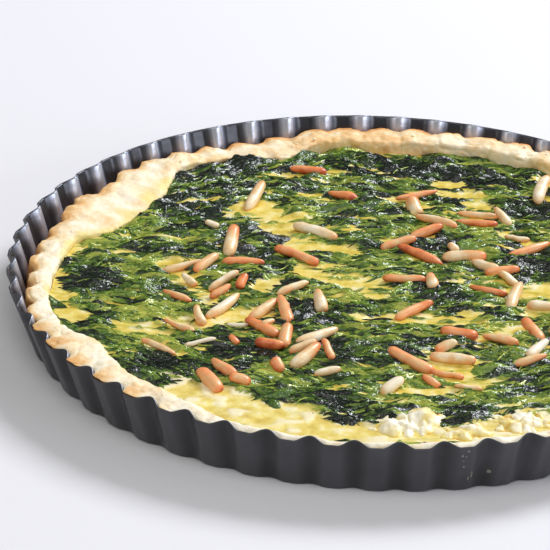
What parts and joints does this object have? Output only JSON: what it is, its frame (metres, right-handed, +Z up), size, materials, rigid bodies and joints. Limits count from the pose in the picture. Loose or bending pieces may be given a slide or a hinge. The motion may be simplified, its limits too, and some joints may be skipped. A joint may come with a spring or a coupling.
{
  "type": "spinach quiche",
  "caption": "Round spinach quiche with pine nuts in a shrunken shortcrust case, whole, in its own dark fluted tart tin.",
  "frame": {"origin": "middle of the tin's flat underside", "axes": "+Z up out of the open face, -Y towards the front of the dish, +X to the right"},
  "size_m": [0.28, 0.28, 0.0236],
  "materials": {
    "tin": "dark non-stick coating, baked on brown inside",
    "pastry": "baked shortcrust pastry, dry and pale with golden edges",
    "filling": "moist wilted spinach and set egg custard with toasted pine nuts"
  },
  "bodies": {
    "root": {"tin": "tin", "crust": "pastry", "filling": "filling"}
  },
  "joints": []
}
